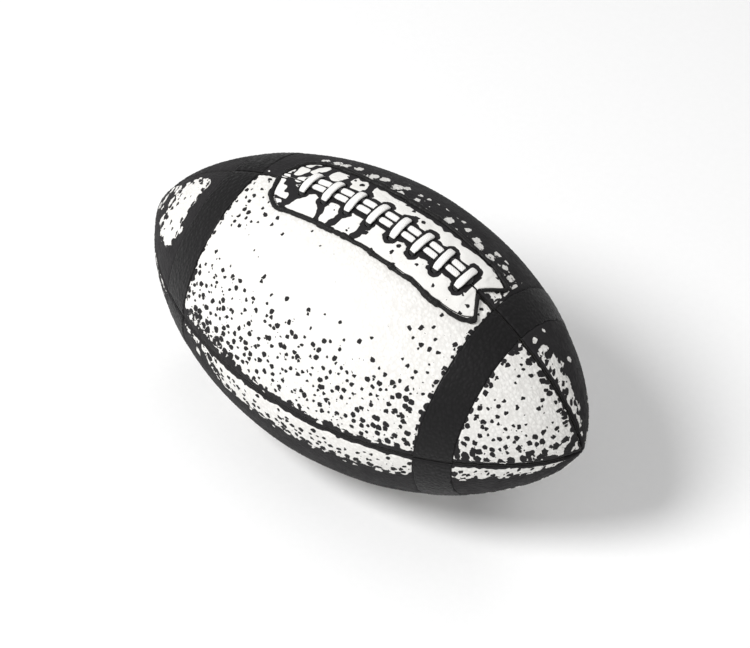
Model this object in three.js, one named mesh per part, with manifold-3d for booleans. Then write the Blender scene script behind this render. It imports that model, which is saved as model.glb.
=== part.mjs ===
// A laced gridiron football: four lined leather panels round a bladder, laced on top, striped at both ends.
// Millimetres. X runs along the ball, +Z points up through the laces, and -Y is the front.
// The origin is the centre of the ball.

import * as THREE from 'three';
import { mergeVertices } from 'three/addons/utils/BufferGeometryUtils.js';
import Module from 'manifold-3d';

const wasm = await Module();
wasm.setup();

// ---- Driving dimensions ----

const ballLength = 280;
const ballDiameter = 157;
const endSharpness = 0.67; // 0.5 gives an ellipse, 1 gives sharp points
const stationsAlong = 24; // facets along the leather; the layers under it have half as many
const sidesAround = 32;

const fitGap = 0.3; // clearance between neighbouring pieces
const seamHalfWidth = 0.8; // from the seam's middle to a panel's edge

const leatherThickness = 2.0;
const liningThickness = 1.0;
const bladderThickness = 1.0;
const tipThickening = 2; // a layer is this many times thicker along X at the tips than at the waist

const stripeInner = 76.5; // distance of a stripe's edges from the ball's middle
const stripeOuter = 94;
const stripeThickness = 0.7;
const stripeRise = 0.3; // how far a stripe stands above the leather

const lacingMiddle = 6.5; // X of the middle of the lacing
const barCount = 8;
const barPitch = 14.25;
const barWidth = 4;
const barHalfSpan = 8; // from the seam to the middle of a lace hole
const laceThickness = 1.6;
const laceOverlap = 0.2; // by which the parts of the lace run into one another
const laceHoleRadius = 2.7;
const runOffset = 2.7; // from the seam to the middle of a lengthwise run
const runWidth = 3.2;
const runThickness = 1.2;
const runOverhang = 4; // past the end bars
const slitOverhang = 11; // of the unsewn slit, past the end bars

const patchThickness = 0.8;
const patchLeft = -62;
const patchRight = 72;
const patchHalfWidth = 20.5;
const patchTailHalfWidth = 13;
const patchNotch = 8;
const patchCorner = [4.5, 0.64]; // the left corners: along from the tip, and out as a share of the half width
const patchRounding = [8, 24]; // how far from the left end a long edge starts to bend, and is straight
const patchTailRounding = [9, 24];
const weltWidth = 2.2;
const weltHeight = 1.8;

const guardHalfWidth = 14;
const guardOverhang = 9; // past the first and the last lace bar
const guardThickness = 1.0;
const dentRoom = 2; // of the bladder's dent, round the guard

const threadRadius = 0.5;
const threadDepth = 0.9;
const threadSides = 6;
const threadTipGap = 4;

const valveStemRadius = 3.2;
const valveBore = 1.6;
const valveFlangeRadius = 8;
const valveFlangeThickness = 2.2;
const valveFlangeGap = 2; // under the bladder's wall
const valveHoleGap = 0.5; // round the stem
const valveSunk = 0.4; // its lip is this far under the leather's face
const valvePlugSunk = 0.6;

// ---- Depths, measured inwards from the outer face of the leather; above it they are negative ----

const liningTop = leatherThickness + fitGap;
const liningBottom = liningTop + liningThickness;
const bladderTop = liningBottom + fitGap;
const bladderBottom = bladderTop + bladderThickness;
const stripeBottom = stripeThickness - stripeRise;
const recessDepth = stripeBottom + fitGap;
const patchBottom = -fitGap;
const patchTop = patchBottom - patchThickness;
const runBottom = patchTop - fitGap;
const runTop = runBottom - runThickness;
const barBottom = runTop + laceOverlap;
const barTop = barBottom - laceThickness;
const innerRunTop = liningBottom + fitGap;
const innerRunBottom = innerRunTop + laceThickness - laceOverlap;
const guardTop = innerRunBottom + fitGap;
const guardBottom = guardTop + guardThickness;
const dentDepth = guardBottom + fitGap;

const ballRadius = ballDiameter / 2;
const reach = ballLength; // larger than the whole ball
const firstBar = lacingMiddle - barPitch * (barCount - 1) / 2;
const lastBar = lacingMiddle + barPitch * (barCount - 1) / 2;
const slitLeft = firstBar - slitOverhang;
const slitRight = lastBar + slitOverhang;

// ---- Joining and cutting ----

function toSolid(geometry) {
  geometry.deleteAttribute('normal');
  geometry.deleteAttribute('uv');
  const merged = mergeVertices(geometry);
  const corners = merged.index.array;
  const triangles = [];
  for (let i = 0; i < corners.length; i += 3) {
    const [a, b, c] = corners.slice(i, i + 3);
    if (a !== b && b !== c && c !== a) triangles.push(a, b, c);
  }
  const mesh = new wasm.Mesh({
    numProp: 3,
    vertProperties: new Float32Array(merged.attributes.position.array),
    triVerts: new Uint32Array(triangles),
  });
  return new wasm.Manifold(mesh);
}

function toGeometry(solid) {
  const mesh = solid.getMesh();
  const geometry = new THREE.BufferGeometry();
  geometry.setAttribute('position', new THREE.BufferAttribute(new Float32Array(mesh.vertProperties), 3));
  geometry.setIndex(new THREE.BufferAttribute(new Uint32Array(mesh.triVerts), 1));
  geometry.computeVertexNormals();
  return geometry;
}

function block(x, y, z) {
  const geometry = new THREE.BoxGeometry(x[1] - x[0], y[1] - y[0], z[1] - z[0]);
  geometry.translate((x[0] + x[1]) / 2, (y[0] + y[1]) / 2, (z[0] + z[1]) / 2);
  return toSolid(geometry);
}

function joinAll(solids) {
  return solids.reduce((whole, solid) => whole.add(solid));
}

// ---- The ball's shape ----

// The profile at a depth. turn runs from -90 degrees at the left tip to 90 at the right one.
function profilePoint(depth, turn) {
  const halfLength = ballLength / 2 - tipThickening * depth;
  const radius = (ballRadius - depth) * Math.max(Math.cos(turn), 0) ** (2 * endSharpness);
  return new THREE.Vector2(radius, halfLength * Math.sin(turn));
}

const ballSolids = new Map();

// The whole ball down to a depth. Facets of the coarser inner layers share corners with the finer outer ones.
function ballAt(depth) {
  if (!ballSolids.has(depth)) {
    const coarseness = depth > leatherThickness ? 2 : 1;
    const stations = stationsAlong / coarseness;
    const points = [];
    for (let i = 0; i <= stations; i++) {
      points.push(profilePoint(depth, Math.PI * (i / stations - 0.5)));
    }
    const geometry = new THREE.LatheGeometry(points, sidesAround / coarseness);
    geometry.rotateZ(-Math.PI / 2);
    ballSolids.set(depth, toSolid(geometry));
  }
  return ballSolids.get(depth);
}

// A layer that follows the ball between two depths, over a footprint.
function layer(top, bottom, footprint) {
  return ballAt(top).subtract(ballAt(bottom)).intersect(footprint);
}

// The quarter of space that one panel fills. up and back are each 1 or -1.
function quarter(up, back) {
  const near = seamHalfWidth;
  const y = back > 0 ? [near, reach] : [-reach, -near];
  const z = up > 0 ? [near, reach] : [-reach, -near];
  return block([-reach, reach], y, z);
}

// ---- Materials ----

function material(color, roughness) {
  return new THREE.MeshStandardMaterial({ color, roughness, metalness: 0 });
}

const colours = {
  leather: 0xe9e6df,
  lining: 0xb9ad93,
  stripe: 0x191718,
  lace: 0xf2f0ea,
  thread: 0x242021,
  guard: 0x6a5a48,
  bladder: 0x2f2f31,
  valve: 0x3a3a3c,
};

const football = new THREE.Group();

function addPiece(name, geometry, color, roughness) {
  const mesh = new THREE.Mesh(geometry, material(color, roughness));
  mesh.name = name;
  football.add(mesh);
}

// ---- Cutters ----

// The lace holes: a pair at each bar, straight down through patch, panel and lining.
function laceHole(x, side) {
  const depth = 40;
  const geometry = new THREE.CylinderGeometry(laceHoleRadius, laceHoleRadius, depth, 8);
  geometry.rotateX(Math.PI / 2);
  geometry.translate(x, side * barHalfSpan, ballRadius - depth / 4);
  return toSolid(geometry);
}

const barPlaces = [];
for (let i = 0; i < barCount; i++) barPlaces.push(firstBar + i * barPitch);

function laceHoles(side) {
  return joinAll(barPlaces.map((x) => laceHole(x, side)));
}

// The valve points out of the lower back panel, halfway between its two seams.
const valveTurn = -3 * Math.PI / 4;

function valvePiece(profile, sides) {
  const geometry = new THREE.LatheGeometry(profile, sides);
  geometry.rotateX(Math.PI / 2);
  geometry.rotateX(valveTurn);
  return geometry;
}

function valveHole() {
  const radius = valveStemRadius + valveHoleGap;
  const profile = [
    new THREE.Vector2(0, ballRadius - 20),
    new THREE.Vector2(radius, ballRadius - 20),
    new THREE.Vector2(radius, ballRadius + 5),
    new THREE.Vector2(0, ballRadius + 5),
  ];
  return toSolid(valvePiece(profile, 16));
}

// The shallow channels in the leather that the stripes lie in.
function stripeChannels() {
  const from = stripeInner - fitGap;
  const to = stripeOuter + fitGap;
  const whole = [-reach, reach];
  const bands = block([-to, -from], whole, whole).add(block([from, to], whole, whole));
  return layer(-2, recessDepth, bands);
}

// ---- Panels and linings ----

const quarters = [
  { name: 'upper_front', up: 1, back: -1 },
  { name: 'lower_front', up: -1, back: -1 },
  { name: 'upper_back', up: 1, back: 1 },
  { name: 'lower_back', up: -1, back: 1 },
];

const valveOpening = valveHole();
const channels = stripeChannels();

for (const { name, up, back } of quarters) {
  const space = quarter(up, back);
  let panel = layer(0, leatherThickness, space).subtract(channels);
  let lining = layer(liningTop, liningBottom, space);
  if (up > 0) {
    const holes = laceHoles(back);
    panel = panel.subtract(holes);
    lining = lining.subtract(holes);
  }
  if (up < 0 && back > 0) {
    panel = panel.subtract(valveOpening);
    lining = lining.subtract(valveOpening);
  }
  addPiece(`${name}_panel`, toGeometry(panel), colours.leather, 0.55);
  addPiece(`${name}_lining`, toGeometry(lining), colours.lining, 0.9);
}

// ---- Stripes: one strip on each panel at each end ----

for (const end of [-1, 1]) {
  const span = end > 0 ? [stripeInner, stripeOuter] : [-stripeOuter, -stripeInner];
  const band = block(span, [-reach, reach], [-reach, reach]);
  for (const { name, up, back } of quarters) {
    const strip = layer(-stripeRise, stripeBottom, band.intersect(quarter(up, back)));
    const side = end > 0 ? 'right' : 'left';
    addPiece(`${side}_stripe_${name}`, toGeometry(strip), colours.stripe, 0.45);
  }
}

// ---- Lacing patch: a long leaf with a swallow tail on the right, split along the slit, with a welt ----

// margin widens the outline all round.
function patchFootprint(margin) {
  const half = patchHalfWidth + margin;
  const tail = patchTailHalfWidth + margin;
  const left = patchLeft - margin;
  const right = patchRight + margin;
  const [cornerAlong, cornerOut] = patchCorner;
  const [leftBend, leftStraight] = patchRounding;
  const [tailBend, tailStraight] = patchTailRounding;
  const outline = new THREE.Shape();
  outline.moveTo(left, 0);
  outline.lineTo(left + cornerAlong, -half * cornerOut);
  outline.quadraticCurveTo(left + leftBend, -half, left + leftStraight, -half);
  outline.lineTo(right - tailStraight, -half);
  outline.quadraticCurveTo(right - tailBend, -half, right, -tail);
  outline.lineTo(right - patchNotch, 0);
  outline.lineTo(right, tail);
  outline.quadraticCurveTo(right - tailBend, half, right - tailStraight, half);
  outline.lineTo(left + leftStraight, half);
  outline.quadraticCurveTo(left + leftBend, half, left + cornerAlong, half * cornerOut);
  outline.lineTo(left, 0);
  const geometry = new THREE.ExtrudeGeometry(outline, {
    depth: ballRadius,
    bevelEnabled: false,
    curveSegments: 8,
  });
  geometry.translate(0, 0, ballRadius / 2);
  return toSolid(geometry);
}

const patchSpace = patchFootprint(0);
const weltSpace = patchFootprint(fitGap + weltWidth).subtract(patchFootprint(fitGap));

for (const [side, back] of [['front', -1], ['back', 1]]) {
  const half = quarter(1, back);
  const patch = layer(patchTop, patchBottom, patchSpace.intersect(half)).subtract(laceHoles(back));
  addPiece(`lacing_patch_${side}`, toGeometry(patch), colours.leather, 0.5);
  const welt = layer(patchBottom - weltHeight, patchBottom, weltSpace.intersect(half));
  addPiece(`patch_welt_${side}`, toGeometry(welt), colours.thread, 0.6);
}

// ---- The lace: bars across, legs through the holes, two runs outside and short runs inside ----

function over(x, halfX, y, halfY) {
  return block([x - halfX, x + halfX], [y - halfY, y + halfY], [0, reach]);
}

function makeLace() {
  const legs = [];
  const bars = [];
  for (const x of barPlaces) {
    bars.push(over(x, barWidth / 2, 0, barHalfSpan + laceThickness / 2));
    legs.push(over(x, barWidth / 2, -barHalfSpan, laceThickness / 2));
    legs.push(over(x, barWidth / 2, barHalfSpan, laceThickness / 2));
  }
  const runHalf = (lastBar - firstBar) / 2 + runOverhang;
  const runs = [-1, 1].map((side) => over(lacingMiddle, runHalf, side * runOffset, runWidth / 2));
  // At each end the two runs turn into one another and go down through the slit.
  const turnHalf = runWidth / 2;
  for (const end of [-1, 1]) {
    const x = lacingMiddle + end * (runHalf - turnHalf);
    runs.push(over(x, turnHalf, 0, runOffset));
    legs.push(over(x, turnHalf, 0, seamHalfWidth - fitGap));
  }
  // Inside, the lace goes on from bar to bar, on the back and on the front in turn.
  const innerRuns = [];
  for (let i = 0; i + 1 < barCount; i++) {
    const x = (barPlaces[i] + barPlaces[i + 1]) / 2;
    const side = i % 2 === 0 ? 1 : -1;
    innerRuns.push(over(x, (barPitch + barWidth) / 2, side * barHalfSpan, barWidth / 2));
  }
  return layer(barTop, barBottom, joinAll(bars))
    .add(layer(runTop, runBottom, joinAll(runs)))
    .add(layer(runTop, innerRunBottom, joinAll(legs)))
    .add(layer(innerRunTop, innerRunBottom, joinAll(innerRuns)));
}

addPiece('lace', toGeometry(makeLace()), colours.lace, 0.7);

const guardHalfLength = (lastBar - firstBar) / 2 + guardOverhang;
const guard = layer(guardTop, guardBottom, over(lacingMiddle, guardHalfLength, 0, guardHalfWidth));
addPiece('lace_guard', toGeometry(guard), colours.guard, 0.75);

// ---- Bladder, dented under the lace guard, and its valve ----

function dented(depth, wall) {
  const room = dentRoom + wall;
  const footprint = over(lacingMiddle, guardHalfLength + room, 0, guardHalfWidth + room);
  return ballAt(depth).subtract(footprint.subtract(ballAt(dentDepth + wall)));
}

const bladder = dented(bladderTop, 0)
  .subtract(dented(bladderBottom, bladderThickness))
  .subtract(valveOpening);
addPiece('bladder', toGeometry(bladder), colours.bladder, 0.6);

const stemTop = ballRadius - valveSunk;
const flangeTop = ballRadius - bladderBottom - valveFlangeGap;
const flangeBottom = flangeTop - valveFlangeThickness;
const valveBody = valvePiece([
  new THREE.Vector2(valveBore, flangeBottom),
  new THREE.Vector2(valveFlangeRadius, flangeBottom),
  new THREE.Vector2(valveFlangeRadius, flangeTop),
  new THREE.Vector2(valveStemRadius, flangeTop),
  new THREE.Vector2(valveStemRadius, stemTop),
  new THREE.Vector2(valveBore, stemTop),
  new THREE.Vector2(valveBore, flangeBottom),
], 16);
addPiece('valve_body', toGeometry(toSolid(valveBody)), colours.valve, 0.5);

const plugRadius = valveBore - fitGap;
const valvePlug = valvePiece([
  new THREE.Vector2(0, flangeBottom),
  new THREE.Vector2(plugRadius, flangeBottom),
  new THREE.Vector2(plugRadius, stemTop - valvePlugSunk),
  new THREE.Vector2(0, stemTop - valvePlugSunk),
], 12);
addPiece('valve_plug', toGeometry(toSolid(valvePlug)), colours.valve, 0.5);

// ---- Seam threads: a cord laid in the groove between two panels ----

// seamTurn is the seam's angle about X: 0 is the back seam, a quarter turn is the lace seam.
function seamThread(seamTurn, fromX, toX) {
  const section = new THREE.Shape();
  for (let i = 0; i < threadSides; i++) {
    const angle = 2 * Math.PI * i / threadSides;
    const x = threadRadius * Math.cos(angle);
    const y = threadRadius * Math.sin(angle);
    if (i === 0) section.moveTo(x, y);
    else section.lineTo(x, y);
  }
  const halfLength = ballLength / 2 - tipThickening * threadDepth;
  const fromTurn = Math.asin(fromX / halfLength);
  const toTurn = Math.asin(toX / halfLength);
  const steps = Math.ceil((toTurn - fromTurn) / (Math.PI / stationsAlong));
  const route = [];
  for (let i = 0; i <= steps; i++) {
    const { x: radius, y: along } = profilePoint(threadDepth, fromTurn + (toTurn - fromTurn) * i / steps);
    route.push(new THREE.Vector3(along, radius * Math.cos(seamTurn), radius * Math.sin(seamTurn)));
  }
  const extrudePath = new THREE.CatmullRomCurve3(route);
  const geometry = new THREE.ExtrudeGeometry(section, { steps, bevelEnabled: false, extrudePath });
  return toGeometry(toSolid(geometry));
}

const threadEnd = ballLength / 2 - threadTipGap;
const seams = [
  { name: 'back_seam_thread', turn: 0, from: -threadEnd, to: threadEnd },
  { name: 'top_seam_thread_left', turn: Math.PI / 2, from: -threadEnd, to: slitLeft },
  { name: 'top_seam_thread_right', turn: Math.PI / 2, from: slitRight, to: threadEnd },
  { name: 'front_seam_thread', turn: Math.PI, from: -threadEnd, to: threadEnd },
  { name: 'bottom_seam_thread', turn: -Math.PI / 2, from: -threadEnd, to: threadEnd },
];
for (const { name, turn, from, to } of seams) {
  addPiece(name, seamThread(turn, from, to), colours.thread, 0.8);
}

export default football;
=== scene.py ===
import math
from itertools import product

import bmesh
import bpy
import numpy as np
from mathutils import Matrix, Vector


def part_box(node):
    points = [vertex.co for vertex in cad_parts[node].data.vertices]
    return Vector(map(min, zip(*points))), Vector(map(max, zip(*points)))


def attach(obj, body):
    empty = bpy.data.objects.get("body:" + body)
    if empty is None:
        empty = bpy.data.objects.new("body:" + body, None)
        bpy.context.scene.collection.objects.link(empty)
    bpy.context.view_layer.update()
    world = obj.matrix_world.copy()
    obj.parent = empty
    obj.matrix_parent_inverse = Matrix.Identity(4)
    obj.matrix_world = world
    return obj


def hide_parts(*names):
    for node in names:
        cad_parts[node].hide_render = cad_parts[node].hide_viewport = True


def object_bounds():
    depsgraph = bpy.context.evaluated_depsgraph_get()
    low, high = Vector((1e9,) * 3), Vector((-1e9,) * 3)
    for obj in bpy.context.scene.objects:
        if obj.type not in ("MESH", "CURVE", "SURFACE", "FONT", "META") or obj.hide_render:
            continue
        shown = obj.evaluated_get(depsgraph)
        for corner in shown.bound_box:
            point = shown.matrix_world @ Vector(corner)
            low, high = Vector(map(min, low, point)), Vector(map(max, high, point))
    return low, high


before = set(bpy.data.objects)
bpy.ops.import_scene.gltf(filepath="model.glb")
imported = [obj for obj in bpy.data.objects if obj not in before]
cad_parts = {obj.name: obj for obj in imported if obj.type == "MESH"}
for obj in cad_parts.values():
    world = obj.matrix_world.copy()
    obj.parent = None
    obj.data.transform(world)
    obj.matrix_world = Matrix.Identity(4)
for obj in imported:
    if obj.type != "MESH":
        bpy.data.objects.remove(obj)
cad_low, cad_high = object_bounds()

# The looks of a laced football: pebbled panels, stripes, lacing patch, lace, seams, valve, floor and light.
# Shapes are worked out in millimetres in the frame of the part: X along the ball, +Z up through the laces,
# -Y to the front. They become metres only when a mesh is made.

MM = 0.001
ROOT = "root"

# ---- The ball's shape, as the CAD has it ----

HALF_LENGTH = 140.0
RADIUS = 78.5
END_SHARPNESS = 0.67
LEATHER = 2.0  # thickness
QUARTERS = {"upper_back": 0, "upper_front": 1, "lower_front": 2, "lower_back": 3}  # start, in right angles
TOP, FRONT = math.pi / 2, math.pi  # angles about X of the lace seam and the front seam


def node_range(node, axis):
    """A CAD node's lowest and highest coordinate on one axis, in millimetres."""
    low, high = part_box(node)
    return low[axis] / MM, high[axis] / MM


STRIPE_INNER, STRIPE_OUTER = node_range("right_stripe_upper_front", 0)
STRIPE_MIDDLE, STRIPE_WIDTH = (STRIPE_INNER + STRIPE_OUTER) / 2, STRIPE_OUTER - STRIPE_INNER
PATCH_LEFT, PATCH_RIGHT = node_range("lacing_patch_front", 0)
PATCH_HALF_WIDTH = -node_range("lacing_patch_front", 1)[0]
LACE_LEFT, LACE_RIGHT = node_range("lace", 0)

BAR_COUNT = 8
BAR_PITCH = 14.25
BAR_HALF_SPAN = 8.0  # from the seam to the middle of a lace hole
LACE_MIDDLE = (LACE_LEFT + LACE_RIGHT) / 2
BARS = [LACE_MIDDLE + BAR_PITCH * (i - (BAR_COUNT - 1) / 2) for i in range(BAR_COUNT)]
HOLE_RADIUS = 2.3
RUN_OFFSET = 2.7

PATCH_TAIL = 13.0  # half width at the corners of the swallow tail
PATCH_NOTCH = 8.0
PATCH_THICKNESS = 1.1
SEAM_GAP = 0.65  # from the seam's middle to a panel's edge


def profile(x):
    """The radius of the leather's outer face, at places along the ball."""
    return RADIUS * np.maximum(1 - (x / HALF_LENGTH) ** 2, 0) ** END_SHARPNESS


def profile_slope(x):
    """How fast that radius grows along X."""
    left = np.maximum(1 - (x / HALF_LENGTH) ** 2, 1e-6)
    return -2 * END_SHARPNESS * RADIUS * x / HALF_LENGTH**2 * left ** (END_SHARPNESS - 1)


def place(x, angle, height):
    """Points at a height above the leather's face. The angle about X is 0 at the back, 90 degrees on top."""
    slope = profile_slope(x)
    scale = 1 / np.sqrt(1 + slope**2)
    radius = profile(x) + height * scale
    return np.stack([x - height * slope * scale, radius * np.cos(angle), radius * np.sin(angle)], -1)


def place_flat(x, y, height):
    """The same, over a point of the plan seen from above the laces."""
    return place(x, np.arccos(np.clip(y / profile(x), -1, 1)), height)


ARC_TURNS = np.linspace(-math.pi / 2, math.pi / 2, 4001)
ARC_X = HALF_LENGTH * np.sin(ARC_TURNS)
ARC_LENGTH = np.concatenate([[0], np.cumsum(np.hypot(np.diff(ARC_X), np.diff(profile(ARC_X))))])


def stations(low, high, count):
    """Places along X, evenly spaced over the leather."""
    ends = np.interp([low, high], ARC_X, ARC_LENGTH)
    return np.interp(np.linspace(ends[0], ends[1], count), ARC_LENGTH, ARC_X)


# ---- Repeatable randomness ----


def random_of(cells, salt):
    """A number from 0 to 1 for each whole-number cell, the same every time."""
    x, y, z = (cells[..., i].astype(np.uint32) for i in range(3))
    mixed = x * np.uint32(0x8DA6B343) ^ y * np.uint32(0xD8163841) ^ z * np.uint32(0xCB1AB31F)
    mixed ^= np.uint32(salt * 0x9E3779B1 & 0xFFFFFFFF)
    for shift, factor in ((15, 0x2C1B3C6D), (12, 0x297A2D39)):
        mixed = (mixed ^ (mixed >> np.uint32(shift))) * np.uint32(factor)
    return (mixed ^ (mixed >> np.uint32(15))) / 2.0**32


def smooth(t):
    """An S curve from 0 to 1, level before and after."""
    t = np.clip(t, 0, 1)
    return t * t * (3 - 2 * t)


def ramp(value, start, end):
    """0 up to start, 1 from end on. start may be the larger."""
    return smooth((value - start) / (end - start))


def noise(points, size, salt=0):
    """Smooth noise from -1 to 1, with features of about the given size."""
    scaled = points / size
    cell = np.floor(scaled).astype(np.int64)
    part = smooth(scaled - cell)
    total = np.zeros(points.shape[:-1])
    for corner in product((0, 1), repeat=3):
        weight = np.prod(np.where(corner, part, 1 - part), axis=-1)
        total += weight * random_of(cell + np.array(corner), salt)
    return total * 2 - 1


def scattered(points, size):
    """Distances, in cells, to the nearest and the second nearest of points scattered one to a cell."""
    scaled = points / size
    cell = np.floor(scaled).astype(np.int64)
    first = np.full(points.shape[:-1], 9.0)
    second = first.copy()
    for step in product((-1, 0, 1), repeat=3):
        near = cell + np.array(step)
        centre = near + np.stack([random_of(near, salt) for salt in range(3)], -1)
        distance = np.linalg.norm(scaled - centre, axis=-1)
        second = np.minimum(second, np.maximum(first, distance))
        first = np.minimum(first, distance)
    return first, second


# ---- Making meshes ----


def make_piece(name, points, faces, material, replaces, attributes=None, sharp=60):
    """A mesh of the visual model in place of CAD nodes. Edges bent by more than sharp degrees look sharp."""
    mesh = bpy.data.meshes.new(name)
    mesh.from_pydata((points * MM).tolist(), [], faces)
    for key, values in (attributes or {}).items():
        mesh.attributes.new(key, "FLOAT", "POINT").data.foreach_set("value", values.astype(np.float32))
    build = bmesh.new()
    build.from_mesh(mesh)
    bmesh.ops.recalc_face_normals(build, faces=build.faces)
    build.to_mesh(mesh)
    build.free()
    mesh.shade_smooth()
    mesh.set_sharp_from_angle(angle=math.radians(sharp))
    mesh.materials.append(material)
    piece = bpy.data.objects.new(name, mesh)
    bpy.context.scene.collection.objects.link(piece)
    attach(piece, ROOT)
    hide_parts(*replaces)
    return piece


def shell(top, bottom, coarse):
    """A closed sheet from two grids of points. Its under side has one row for every few of the top's."""
    rows, columns = top.shape[:2]
    upper = np.arange(rows * columns).reshape(rows, columns)
    faces = np.stack([upper[:-1, :-1], upper[1:, :-1], upper[1:, 1:], upper[:-1, 1:]], -1)
    faces = faces.reshape(-1, 4).tolist()
    under_points = bottom[::coarse, ::coarse]
    under = np.arange(under_points.shape[0] * under_points.shape[1]).reshape(under_points.shape[:2])
    under += rows * columns
    lower = np.stack([under[:-1, :-1], under[:-1, 1:], under[1:, 1:], under[1:, :-1]], -1)
    faces += lower.reshape(-1, 4).tolist()
    ends = ((upper[0], under[0]), (upper[-1], under[-1]))
    sides = ((upper[:, 0], under[:, 0]), (upper[:, -1], under[:, -1]))
    for fine, plain in ends + sides:
        for i in range(len(plain) - 1):
            faces.append(fine[i * coarse:(i + 1) * coarse + 1].tolist() + [int(plain[i + 1]), int(plain[i])])
    points = np.concatenate([top.reshape(-1, 3), under_points.reshape(-1, 3)])
    return points, faces, len(under_points.reshape(-1, 3))


def padded_values(values, extra):
    """A point attribute for a shell: the top's values, then zeros for the under side."""
    return np.concatenate([values.ravel(), np.zeros(extra)])


def sweep(path, side, widths, thicknesses, sides=14, squareness=0.55):
    """A strap along a path: its width lies along side and its thickness across it. The ends are closed."""
    path = np.asarray(path, float)
    tangent = np.gradient(path, axis=0)
    tangent /= np.linalg.norm(tangent, axis=1, keepdims=True)
    side = np.broadcast_to(side, path.shape)
    across = side - tangent * np.sum(side * tangent, axis=1, keepdims=True)
    across /= np.linalg.norm(across, axis=1, keepdims=True)
    normal = np.cross(tangent, across)
    turn = 2 * math.pi * np.arange(sides) / sides
    cos = np.sign(np.cos(turn)) * np.abs(np.cos(turn)) ** squareness
    sin = np.sign(np.sin(turn)) * np.abs(np.sin(turn)) ** squareness
    widths = np.broadcast_to(widths, len(path))[:, None, None]
    thicknesses = np.broadcast_to(thicknesses, len(path))[:, None, None]
    rings = path[:, None] + across[:, None] * cos[None, :, None] * widths / 2
    rings = rings + normal[:, None] * sin[None, :, None] * thicknesses / 2
    index = np.arange(len(path) * sides).reshape(len(path), sides)
    after = np.roll(index, -1, axis=1)
    faces = np.stack([index[:-1], after[:-1], after[1:], index[1:]], -1).reshape(-1, 4).tolist()
    faces += [index[0][::-1].tolist(), index[-1].tolist()]
    return rings.reshape(-1, 3), faces


def gather(parts):
    """One list of points and faces from several."""
    points, faces, start = [], [], 0
    for part_points, part_faces in parts:
        points.append(part_points)
        faces += [[i + start for i in face] for face in part_faces]
        start += len(part_points)
    return np.concatenate(points), faces


def even_path(points, step):
    """The same line with evenly spaced points."""
    points = np.asarray(points, float)
    along = np.concatenate([[0], np.cumsum(np.linalg.norm(np.diff(points, axis=0), axis=1))])
    count = max(int(along[-1] / step), 4) + 1
    wanted = np.linspace(0, along[-1], count)
    return np.stack([np.interp(wanted, along, points[:, i]) for i in range(points.shape[1])], -1)


def rounded(points, passes):
    """A line with its corners cut round, its ends kept."""
    points = np.asarray(points, float)
    for _ in range(passes):
        after = points[:-1] * 0.75 + points[1:] * 0.25
        before = points[:-1] * 0.25 + points[1:] * 0.75
        middle = np.stack([after, before], 1).reshape(-1, points.shape[1])
        points = np.concatenate([points[:1], middle[1:-1], points[-1:]])
    return points


# ---- Materials ----


class Graph:
    """A material whose nodes are added one by one. An input takes a number, a colour or a socket."""

    def __init__(self, name):
        self.material = bpy.data.materials.new(name)
        self.material.use_nodes = True
        self.tree = self.material.node_tree
        self.shader = self.tree.nodes["Principled BSDF"]

    def set(self, node, key, value):
        socket = node.inputs[key]
        if isinstance(value, bpy.types.NodeSocket):
            self.tree.links.new(value, socket)
        else:
            socket.default_value = value

    def node(self, kind, inputs, **settings):
        node = self.tree.nodes.new("ShaderNode" + kind)
        for key, value in settings.items():
            setattr(node, key, value)
        for key, value in inputs.items():
            self.set(node, key, value)
        return node

    def math(self, operation, a, b=0.0):
        return self.node("Math", {0: a, 1: b}, operation=operation).outputs[0]

    def vector_math(self, operation, a, b):
        return self.node("VectorMath", {0: a, 1: b}, operation=operation).outputs[0]

    def scaled(self, vector, factor):
        return self.node("VectorMath", {0: vector, "Scale": factor}, operation="SCALE").outputs[0]

    def remap(self, value, low, high, to_low=0.0, to_high=1.0):
        """A smooth step from to_low, where value is low or less, to to_high, where it is high or more."""
        inputs = {"Value": value, "From Min": low, "From Max": high, "To Min": to_low, "To Max": to_high}
        return self.node("MapRange", inputs, interpolation_type="SMOOTHSTEP").outputs["Result"]

    def mix(self, factor, a, b):
        node = self.node("Mix", {}, data_type="RGBA")
        for key, value in ((0, factor), (6, a), (7, b)):
            self.set(node, key, value)
        return node.outputs[2]

    def attribute(self, name):
        return self.node("Attribute", {}, attribute_name=name).outputs["Fac"]

    def position(self):
        return self.node("TexCoord", {}).outputs["Object"]

    def noise(self, vector, size_mm, detail=2.0, roughness=0.5):
        inputs = {"Vector": vector, "Scale": 1 / (size_mm * MM), "Detail": detail, "Roughness": roughness}
        return self.node("TexNoise", inputs)

    def cracks(self, vector, size_mm):
        """0 on a net of lines between cells of about the given size, more inside the cells."""
        inputs = {"Vector": vector, "Scale": 1 / (size_mm * MM)}
        return self.node("TexVoronoi", inputs, feature="DISTANCE_TO_EDGE").outputs["Distance"]

    def bump(self, height, distance_mm, strength=1.0, normal=None):
        inputs = {"Height": height, "Distance": distance_mm * MM, "Strength": strength}
        if normal is not None:
            inputs["Normal"] = normal
        return self.node("Bump", inputs).outputs["Normal"]

    def finish(self, color, roughness, normal=None, **constants):
        self.set(self.shader, "Base Color", color)
        self.set(self.shader, "Roughness", roughness)
        if normal is not None:
            self.set(self.shader, "Normal", normal)
        for key, value in constants.items():
            self.set(self.shader, key.replace("_", " "), value)
        return self.material


def rgb(r, g, b):
    return (r, g, b, 1.0)


WHITE = rgb(0.81, 0.80, 0.775)
SHADE_AND_SPECK_BLACK = rgb(0.012, 0.011, 0.012)
VALLEY_GREY = rgb(0.30, 0.28, 0.26)


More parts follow.
